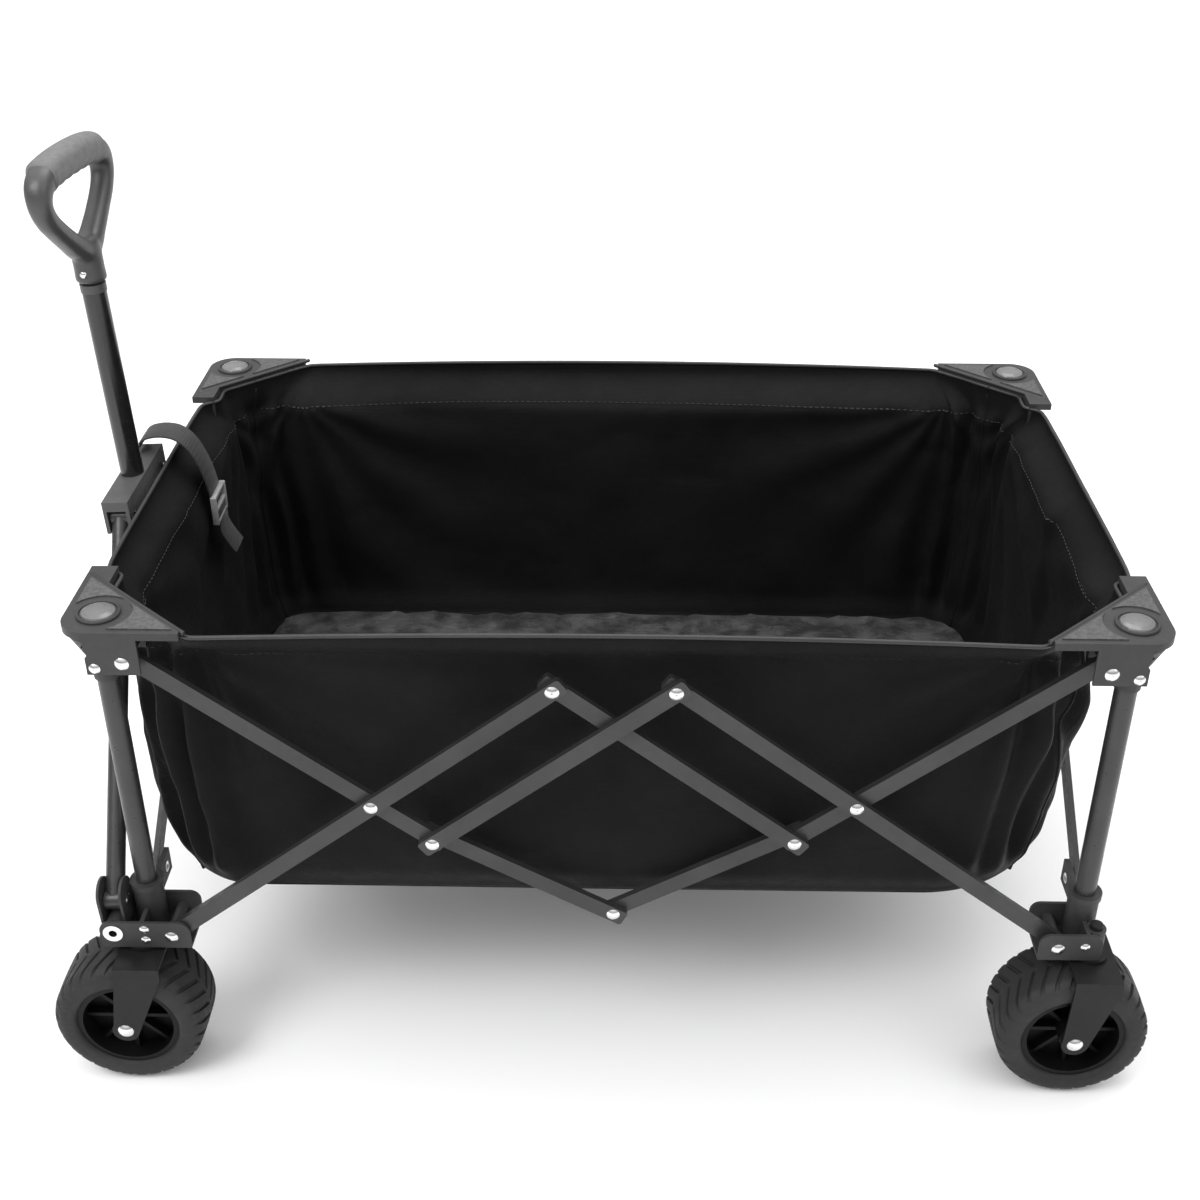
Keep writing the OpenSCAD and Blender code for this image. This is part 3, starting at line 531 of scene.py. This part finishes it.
def grip_neck():
    vertices = []
    for u, w, d in NECK:
        for k in range(NECK_SIDES):
            a = 2 * math.pi * k / NECK_SIDES
            vertices.append(grip_point(d * math.sin(a), w * math.cos(a), u))
    faces = grid_faces(len(NECK), NECK_SIDES, wrap=True) + end_caps(len(NECK), NECK_SIDES)
    return vertices, faces


def palm_pad():
    """A sleeve round the handle's bar, with a scalloped lower edge."""
    rows, around = 61, 36
    vertices = []
    for i in range(rows):
        t = 2 * i / (rows - 1) - 1
        y = PALM_HALF * t
        u = PALM_U - 0.0040 * abs(t) ** 2.5
        close = 1 - 0.30 * smooth((abs(t) - 0.94) / 0.06)
        for c, s in squared_ring(around, 0.86):
            scallop = 0.0011 * math.cos(2 * math.pi * y / 0.0165) * max(0.0, -s) ** 2
            vertices.append(grip_point(c * 0.0150 * close, y, u + s * (0.0143 + scallop) * close))
    return vertices, grid_faces(rows, around, wrap=True) + end_caps(rows, around)


def screw(u, sides=16):
    """A domed screw head in the socket; SCREW holds its radii and heights."""
    ring = []
    for r, h in SCREW:
        for k in range(sides):
            a = 2 * math.pi * k / sides
            ring.append(grip_point(r * math.cos(a), -0.0143 - h, u + r * math.sin(a)))
    return ring, grid_faces(len(SCREW), sides, wrap=True)


def grip():
    """The D-shaped handle: loop and neck melted into one, palm pad and two screws."""
    o = piece("d_grip_detail", *join_parts([grip_loop(), grip_neck()]), GRIP, "handle",
              "grip_plastic")
    melt = o.modifiers.new("melt", "REMESH")
    melt.mode = "VOXEL"
    melt.voxel_size = 0.0016
    melt.use_smooth_shade = True
    soften = o.modifiers.new("soften", "SMOOTH")
    soften.factor = 0.6
    soften.iterations = 8
    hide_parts("d_grip")
    palm = piece("d_grip_palm_pad", *palm_pad(), PALM, "handle", "grip_plastic", sharp=50)
    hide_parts("d_grip")
    piece("grip_screws", *join_parts([screw(0.548), screw(0.566)]), STEEL, "handle",
          "grip_plastic")


grip()


# ---------------------------------------------------------------- basket walls
# The basket's outline in one quarter, at the rim and below it, from the middle of the long
# side round the corner to the middle of the end: (x, y at the rim, x, y of the body).
QUARTER = [
    (0.0, 0.2990, 0.0, 0.2630), (0.120, 0.2990, 0.120, 0.2630),
    (0.240, 0.2990, 0.240, 0.2625), (0.330, 0.2990, 0.330, 0.2620),
    (0.3600, 0.2985, 0.362, 0.2615), (0.3700, 0.2925, 0.384, 0.2615),
    (0.3850, 0.2795, 0.402, 0.2615), (0.4010, 0.2645, 0.418, 0.2615),
    (0.4170, 0.2495, 0.4345, 0.2615), (0.4330, 0.2350, 0.4345, 0.2450),
    (0.4455, 0.2220, 0.4345, 0.2300), (0.4462, 0.1950, 0.4345, 0.2120),
    (0.4620, 0.1800, 0.4350, 0.1850), (0.4640, 0.1200, 0.4350, 0.1200),
    (0.4640, 0.0, 0.4350, 0.0)]
# Where a long wall meets an end wall: the ninth outline point, and the same as a share
SEAM_T = 8 / (len(QUARTER) - 1)
SEAM_BLEND = 0.10           # over this share the pleats of the two walls fade into each other
BODY_X, BODY_Y = 0.4345, 0.2615
RIM_TOP = 0.5035
FLARE_Z = 0.462             # above here the wall leans out to the rim
LEVELS = 44                 # rows of a wall from the floor to the rim
HEM_ROWS = 5                # the hem is stitched this many rows below the rim
# Radius of the basket's corners at the floor, below the rim, and the height over which one
# turns into the other. The cloth pulls in at the corners, most of all at the front far one.
SAG = {(-1, -1): (0.085, 0.058, 0.14), (1, -1): (0.135, 0.088, 0.24),
       (-1, 1): (0.065, 0.045, 0.10), (1, 1): (0.080, 0.052, 0.12)}
TUCK = 0.009                # how far the walls turn in at the floor
CLOTH_THICKNESS = 0.0011


def thicken(o):
    """Gives a sheet of cloth its thickness, half on each side."""
    thick = o.modifiers.new("cloth", "SOLIDIFY")
    thick.thickness = CLOTH_THICKNESS
    thick.offset = 0


def round_corner(x, y, radius, inset=0.0):
    """Moves a point of a rectangle's corner square into a rounded corner. x and y are positive."""
    ax, ay = (x - (BODY_X - inset) + radius) / radius, (y - (BODY_Y - inset) + radius) / radius
    if ax <= 0 or ay <= 0:
        return x, y
    ax, ay = min(ax, 1.02), min(ay, 1.02)
    nx, ny = ax * math.sqrt(1 - ay * ay / 2), ay * math.sqrt(1 - ax * ax / 2)
    return x + (nx - ax) * radius, y + (ny - ay) * radius


def along_quarter(t):
    """Outline point at t, 0 in the middle of the long side and 1 in the middle of the end:
    a mix of the straight line and the curve through the points of QUARTER."""
    s = t * (len(QUARTER) - 1)
    k = min(int(s), len(QUARTER) - 2)
    f = s - k
    near = [QUARTER[max(0, min(len(QUARTER) - 1, k + j))] for j in (-1, 0, 1, 2)]
    out = []
    for a, b, c, d in zip(*near):
        out.append(mix(b + (c - b) * f, catmull_rom(a, b, c, d, f), 0.6))
    return out


def folds(x, y, z, on_end):
    """How far the cloth stands out from the smooth wall at a point, in metres."""
    sx, sy = math.copysign(1, x), math.copysign(1, y)
    dx, dy = BODY_X - abs(x), BODY_Y - abs(y)
    # Fades out at the floor and, for the most part, at the hem
    high = smooth((z - FLOOR_Z) / 0.05) * (1 - 0.75 * smooth((z - 0.455) / 0.04))
    # Upright pleats close to the corners, deeper below the brackets
    away = max(dy, 0) if on_end else max(dx, 0)
    wobble = 0.016 * noise.noise(Vector((z * 9 + 3 * sx, 5 * sy, away * 6)))
    pleat = math.cos(2 * math.pi * (away + wobble) / (0.034 + 0.10 * away) + 1.3 * sx + sy)
    depth = 1 + 0.6 * noise.noise(Vector((z * 7 + 2 * sy, 3 * sx, 1.5)))
    near = math.exp(-((away - 0.035) / 0.060) ** 2)
    out = 0.0072 * pleat * near * high * depth
    # Tension folds that fan out from the bracket corners
    reach, drop = (abs(y) - 0.200 if on_end else abs(x) - 0.372), z - 0.478
    r = math.hypot(reach, drop)
    angle = math.atan2(-drop, -reach)
    bend = 3.0 * noise.noise(Vector((r * 5 + 7 * sx, sy * 3, 0.4)))
    fan = math.cos(13 * angle + bend + sx * 2 + sy)
    out += 0.0036 * fan * math.exp(-((r - 0.15) / 0.16) ** 2) * high
    # Slack, soft waves and fine crinkles
    out += 0.0064 * noise.noise(Vector((x * 3.4, y * 3.4, z * 2.6 + 5 * sy))) * high
    out += 0.0030 * noise.noise(Vector((x * 11 + z * 6, y * 11 + 2, z * 9))) * high
    ridge = 1 - abs(noise.noise(Vector((x * 17 + z * 9 + 4, y * 17, z * 13 - x * 5))))
    out += 0.0020 * (ridge ** 5) * high
    return out


def wall_point(t, level, sx, sy, on_end):
    """A point of the wall. t as in along_quarter, level 0 at the bottom and 1 at the rim.
    Below 0 it lies in the edge that turns in under the floor."""
    rx, ry, bx, by = along_quarter(t)
    crown = 1 - min(1.0, rx / 0.36) ** 2
    low = FLOOR_Z - 0.002
    z = mix(low, RIM_TOP + 0.0065 * crown, max(level, 0)) - (0.0008 if level < 0 else 0)
    flare = smooth((z - FLARE_Z) / (RIM_TOP - 0.004 - FLARE_Z)) ** 1.25
    floor_r, rim_r, height = SAG[(sx, sy)]
    radius = mix(floor_r, rim_r, smooth((z - low) / height))
    cx, cy = round_corner(bx, by, radius)
    x, y = mix(cx, rx, flare), mix(cy, ry, flare)
    norm_x, norm_y = (bx / BODY_X) ** 6, (by / BODY_Y) ** 6
    size = math.hypot(norm_x, norm_y) or 1
    # Near the floor the wall rounds in
    tuck = (1 - smooth((z - low) / 0.030)) * TUCK + (TUCK if level < 0 else 0)
    out = folds(sx * bx, sy * by, z, on_end) * (1 - 0.9 * flare) - tuck
    return Vector((DX + sx * (x + norm_x / size * out), sy * (y + norm_y / size * out), z))


def wall(name, body, on_end, sign):
    """One of the four walls, and the lines of its rim, hem stitching and two side edges. sign is
    -1 for the front or handle end, 1 for the back or far end."""
    per_half = 52 if on_end else 74
    columns = []
    for half in (-1, 1):
        shares = [i / per_half for i in range(per_half + 1)]
        if on_end:
            row = [(mix(1.0, SEAM_T, s), sign, half) for s in shares]
        else:
            row = [(SEAM_T * s, half, sign) for s in shares]
        columns += row[:0:-1] if half < 0 else row
    vertices = []
    for k in range(-1, LEVELS + 1):
        for t, sx, sy in columns:
            # The two walls agree at the seam
            own = wall_point(t, k / LEVELS, sx, sy, on_end)
            other = wall_point(t, k / LEVELS, sx, sy, not on_end)
            share = 0.5 * smooth(1 - abs(t - SEAM_T) / SEAM_BLEND)
            vertices.append(own.lerp(other, share))
    count = len(columns)
    o = piece(name, vertices, grid_faces(LEVELS + 2, count), CLOTH_END if on_end else CLOTH,
              body, "basket_fabric")
    thicken(o)
    fine = o.modifiers.new("fine", "SUBSURF")
    fine.levels = fine.render_levels = 1
    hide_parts("basket")
    rim = vertices[-count:]
    hem = vertices[-(HEM_ROWS + 1) * count:-HEM_ROWS * count]
    edges = [vertices[end::count][1:-1] for end in (0, count - 1)]
    return o, rim, hem, edges


def trim(name, line, body, radius, mat):
    """Piping or a seam along a line."""
    return piece(name, *tube(line, radius, 8), mat, body, "basket_fabric")


STITCH, STITCH_GAP, STITCH_R = 0.0040, 0.0028, 0.00045
STITCH_OFF = 0.0008         # from the middle of the cloth


def stitches(name, line, out, body):
    """A row of short stitches on both faces of the cloth along a line."""
    parts = []
    travelled, target = 0.0, STITCH
    for a, b in zip(line, line[1:]):
        step = (b - a).length
        while target < travelled + step:
            middle = a.lerp(b, (target - travelled) / step)
            ahead = (b - a).normalized() * STITCH / 2
            for side in (-1, 1):
                off = Vector(out) * side * STITCH_OFF
                path = [middle - ahead + off, middle + off * 1.35, middle + ahead + off]
                parts.append(tube(path, STITCH_R, 5))
            target += STITCH + STITCH_GAP
        travelled += step
    return piece(name, *join_parts(parts), THREAD, body, "basket_fabric")


SQUASH_X = dict(joint="fold", axis=(1, 0, 0), anchor=(DX - POST_X, 0, 0), keep=FOLD_KEEP_X)
SQUASH_Y = dict(joint="fold", axis=(0, 1, 0), anchor=(0, -POST_Y, 0), keep=FOLD_KEEP_Y)
LONG_CUT, END_CUT = (0.93, 0.365), (0.56, 0.365)
WALLS = {
    "wall_front": ("up_fl", False, -1, SQUASH_X, LONG_CUT),
    "wall_back": ("up_bl", False, 1, SQUASH_X, LONG_CUT),
    "wall_handle_end": ("up_fl", True, -1, SQUASH_Y, END_CUT),
    "wall_far_end": ("up_fr", True, 1, SQUASH_Y, END_CUT),
}


def hang_walls():
    for name, (body, on_end, sign, squash, flat) in WALLS.items():
        o, rim, hem, edges = wall(name, body, on_end, sign)
        above = [p + Vector((0, 0, 0.0008)) for p in rim]
        out = (sign, 0, 0) if on_end else (0, sign, 0)
        sewn = [trim(name + "_rim_piping", above, body, 0.0021, PIPING),
                stitches(name + "_hem_stitches", hem, out, body)]
        if not on_end:
            # The long walls carry the corner seams
            sewn += [trim(name + "_seam_" + side, line, body, 0.0018, CLOTH)
                     for side, line in zip(("handle_end", "far_end"), edges)]
        for p in (o, *sewn):
            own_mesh(p)


hang_walls()


# ---------------------------------------------------------------- basket floor
BASE_INSET = TUCK           # the fabric floor ends where the walls turn in
MAT_INSET = 0.016
MAT_EDGE = 0.007            # over this the mat's top rounds down to its edge


def mat_height(x, y):
    """Creased top of the padded floor mat."""
    wave = noise.noise(Vector((x * 10 + y * 4, y * 13, 0.7)))
    ridge = 1 - abs(noise.noise(Vector((x * 15 + y * 22, y * 20 - x * 9, 2.1))))
    crease = 1 - abs(noise.noise(Vector((x * 9 - y * 18, y * 10 + x * 12, 7.7))))
    return 0.0014 * wave + 0.0034 * ridge ** 7 - 0.0030 * crease ** 9


def floor_point(x, y, sign, inset, z):
    """A point of the floor, moved in where the basket's corners are round."""
    radius = SAG[(1 if x > 0 else -1, sign)][0] - inset / 2
    px, py = round_corner(abs(x), abs(y), radius, inset)
    return Vector((DX + math.copysign(px, x), math.copysign(py, sign), z))


def mat_half(name, body, sign):
    """Half of the padded mat. The halves meet in a groove."""
    half_x, half_y = BODY_X - MAT_INSET, BODY_Y - MAT_INSET
    xs = np.linspace(-half_x, half_x, 141)
    ys = np.linspace(0.0, half_y, 45)
    top, under = [], []
    for y in ys:
        groove = 0.0035 * math.exp(-(y / 0.005) ** 2)
        for x in xs:
            edge = min(half_x - abs(x), half_y - y) / MAT_EDGE
            rise = math.sqrt(max(0.0, 1 - (1 - min(1.0, edge)) ** 2))
            thick = PAD_TOP - FLOOR_Z - 0.0022 + mat_height(x, y * sign) - groove
            z = FLOOR_Z + 0.001 + thick * rise
            top.append(floor_point(x, y, sign, MAT_INSET, z))
            under.append(floor_point(x, y, sign, MAT_INSET, FLOOR_Z + 0.0004))
    rows, columns, start = len(ys), len(xs), len(top)
    faces = grid_faces(rows, columns)
    faces += [tuple(reversed(f)) for f in grid_faces(rows, columns, start=start)]
    border = list(range(columns)) + [r * columns + columns - 1 for r in range(1, rows)]
    border += [(rows - 1) * columns + c for c in range(columns - 2, -1, -1)]
    border += [r * columns for r in range(rows - 2, 0, -1)]
    for a, b in zip(border, border[1:] + border[:1]):
        faces.append((a, a + start, b + start, b))
    if sign < 0:
        faces = [tuple(reversed(f)) for f in faces]
    o = piece(name, top + under, faces, MAT_PAINTED_SHEEN, body, "floor_fabric", sharp=60)
    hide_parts("floor_pad")
    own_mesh(o)


def base_half(name, body, sign):
    """Half of the fabric floor below the mat."""
    rows, columns = 30, 110
    end = BODY_X - BASE_INSET
    vertices = []
    for y in np.linspace(0.0, BODY_Y - BASE_INSET, rows):
        for x in np.linspace(-end, end, columns):
            sag = 0.0009 * noise.noise(Vector((x * 6, y * sign * 8, 3.3)))
            vertices.append(floor_point(x, y, sign, BASE_INSET, FLOOR_Z - 0.0020 + sag))
    o = piece(name, vertices, grid_faces(rows, columns), CLOTH_FLAT, body, "basket_fabric")
    thicken(o)
    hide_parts("basket")
    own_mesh(o)


for side, body, sign in (("front", "up_fl", -1), ("back", "up_bl", 1)):
    mat_half("floor_mat_" + side, body, sign)
    base_half("floor_mat_" + side + "_base", body, sign)


# ---------------------------------------------------------------- piping on the gussets
# One quarter, from the long side round the gusset's inner edge to the end
GUSSET_LINE = [
    (GUSSET_X - 0.004, CORNER_Y - 0.004), (GUSSET_X + 0.003, CORNER_Y - 0.0095),
    (GUSSET_X + 0.05, CORNER_Y - 0.053), (CORNER_X - 0.0105, GUSSET_Y + 0.003),
    (CORNER_X - 0.004, GUSSET_Y - 0.002)]
for corner, (sx, sy) in CORNERS.items():
    points = [(DX + sx * x, sy * y, RIM_Z - 0.0012) for x, y in GUSSET_LINE]
    line = loop_through(points, 30, closed=False)
    trim("gusset_piping_" + corner, line, "up_" + corner, 0.0022, PIPING)


# ---------------------------------------------------------------- strap over the rim
STRAP_Y = 0.0600
STRAP_W = 0.036
# Section of the webbing, with rounded edges, as shares of its width and thickness
BAND = [(-0.5, -0.2), (-0.47, -0.5), (0.47, -0.5), (0.5, -0.2),
        (0.5, 0.2), (0.47, 0.5), (-0.47, 0.5), (-0.5, 0.2)]
# (x from DX, y from STRAP_Y, z)
STRAP_ROUTE = [
    (-0.4265, 0.006, 0.448), (-0.4275, 0.005, 0.462), (-0.4310, 0.003, 0.484),
    (-0.4370, 0.001, 0.5040), (-0.4450, 0, 0.5190), (-0.4550, 0, 0.5275),
    (-0.4660, 0, 0.5305), (-0.4780, 0, 0.5300), (-0.4880, 0, 0.5265),
    (-0.4935, 0, 0.5200), (-0.4950, 0, 0.5150)]
TAIL_ROUTE = [
    (-0.4260, 0.006, 0.446), (-0.4225, 0.008, 0.430), (-0.4235, 0.013, 0.414),
    (-0.4190, 0.018, 0.398), (-0.4130, 0.022, 0.384)]


def band(route, count, width, thick):
    """A flat band of webbing along a route, its width along Y as far as the route allows."""
    points = [(DX + x, STRAP_Y + y, z) for x, y, z in route]
    line = loop_through(points, count, closed=False)
    across = Vector((0, 1, 0))
    vertices = []
    for i, p in enumerate(line):
        ahead = (line[min(i + 1, len(line) - 1)] - line[max(i - 1, 0)]).normalized()
        up = ahead.cross(across).normalized()
        for a, b in BAND:
            vertices.append(p + across * a * width + up * b * thick)
    faces = grid_faces(count, len(BAND), wrap=True) + end_caps(count, len(BAND))
    return vertices, faces


def box(x0, x1, y0, y1, z0, z1):
    corners = [Vector((a, b, c)) for c in (z0, z1) for b in (y0, y1) for a in (x0, x1)]
    return corners, [(0, 2, 3, 1), (4, 5, 7, 6), (0, 1, 5, 4),
                     (2, 6, 7, 3), (0, 4, 6, 2), (1, 3, 7, 5)]


def strap_buckle():
    """A frame with three bars."""
    x, y, half = DX - 0.4250, STRAP_Y + 0.006, STRAP_W / 2
    parts = []
    for y0, y1 in ((y - half - 0.004, y - half), (y + half, y + half + 0.004)):
        parts.append(box(x - 0.0025, x + 0.0040, y0, y1, 0.428, 0.460))
    y0, y1 = y - half - 0.0005, y + half + 0.0005
    for z in (0.4280, 0.4410, 0.4555):
        parts.append(box(x - 0.0020, x + 0.0036, y0, y1, z, z + 0.0045))
    return join_parts(parts)


def strap():
    """Webbing that arches over the rim on to the pull head, with its buckle and free end inside
    the basket."""
    webbing = piece("rim_strap_webbing", *band(STRAP_ROUTE, 60, STRAP_W, 0.0021), WEBBING,
                    "up_fl", "strap_webbing")
    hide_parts("rim_strap")
    buckle = piece("rim_strap_buckle", *strap_buckle(), BUCKLE, "up_fl", "strap_webbing")
    mod = buckle.modifiers.new("edge", "BEVEL")
    mod.width, mod.segments = 0.0009, 2
    tail = piece("rim_strap_tail", *band(TAIL_ROUTE, 30, STRAP_W - 0.001, 0.0019), WEBBING,
                 "up_fl", "strap_webbing")
    for p in (webbing, buckle, tail):
        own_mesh(p)


strap()


# ---------------------------------------------------------------- stage, lights, camera
FLOOR_HALF = 30.0
SKY_LOW, SKY_HIGH = 0.15, 1.75  # strength of the sky at the horizon and overhead


def studio_floor():
    h = FLOOR_HALF
    mesh = bpy.data.meshes.new("studio_floor")
    mesh.from_pydata([(-h, -h, 0), (h, -h, 0), (h, h, 0), (-h, h, 0)], [], [(0, 1, 2, 3)])
    ground = bpy.data.objects.new("studio_floor", mesh)
    bpy.context.scene.collection.objects.link(ground)
    paper = bpy.data.materials.new("studio_paper")
    paper.use_nodes = True
    shader = paper.node_tree.nodes["Principled BSDF"]
    shader.inputs["Base Color"].default_value = (0.92, 0.92, 0.92, 1)
    shader.inputs["Roughness"].default_value = 0.9
    shader.inputs["Specular IOR Level"].default_value = 0.1
    mesh.materials.append(paper)


def studio_sky():
    """A sky that is bright overhead and darker towards the horizon. Seen directly, it is as pale
    as the floor."""
    world = bpy.data.worlds.new("studio")
    bpy.context.scene.world = world
    world.use_nodes = True
    sky = world.node_tree
    aim = sky.nodes.new("ShaderNodeTexCoord")
    split = sky.nodes.new("ShaderNodeSeparateXYZ")
    sky.links.new(aim.outputs["Generated"], split.inputs[0])
    glow = sky.nodes.new("ShaderNodeMapRange")
    glow.inputs["To Min"].default_value = SKY_LOW
    glow.inputs["To Max"].default_value = SKY_HIGH
    sky.links.new(split.outputs["Z"], glow.inputs["Value"])
    seen = sky.nodes.new("ShaderNodeLightPath")
    pale = sky.nodes.new("ShaderNodeMix")
    factor, plain, direct = pale.inputs[0], pale.inputs[2], pale.inputs[3]
    direct.default_value = 1.0
    sky.links.new(seen.outputs["Is Camera Ray"], factor)
    sky.links.new(glow.outputs["Result"], plain)
    background = sky.nodes["Background"]
    sky.links.new(pale.outputs[0], background.inputs["Strength"])
    background.inputs["Color"].default_value = (1, 1, 1, 1)


def area_light(name, place, size, power):
    """A rectangular light that aims at the middle of the wagon."""
    data = bpy.data.lights.new(name, "AREA")
    data.shape = "RECTANGLE"
    data.size, data.size_y = size
    data.energy = power
    o = bpy.data.objects.new(name, data)
    o.location = place
    o.rotation_euler = (MIDDLE - Vector(place)).to_track_quat("-Z", "Y").to_euler()
    bpy.context.scene.collection.objects.link(o)


MIDDLE = Vector((0.0, 0.0, 0.35))
CAMERA_TILT, CAMERA_TURN = 30.836, 1.146    # degrees below level, and to the left

studio_floor()
studio_sky()
area_light("key", (-1.5, -1.5, 2.4), (1.2, 1.2), 36)
area_light("fill", (2.0, -1.2, 2.0), (1.4, 1.4), 8)
area_light("top", (0.2, 0.5, 2.8), (2.0, 1.4), 30)

camera_data = bpy.data.cameras.new("camera")
camera_data.sensor_width = 36
camera_data.lens = 47.87
camera = bpy.data.objects.new("camera", camera_data)
camera.location = (DX + 0.0105, -1.4346, 1.2242)
camera.rotation_euler = (math.radians(90 - CAMERA_TILT), 0, math.radians(CAMERA_TURN))
bpy.context.scene.collection.objects.link(camera)
bpy.context.scene.camera = camera
bpy.context.scene.view_settings.view_transform = "Standard"

bpy.context.view_layer.update()
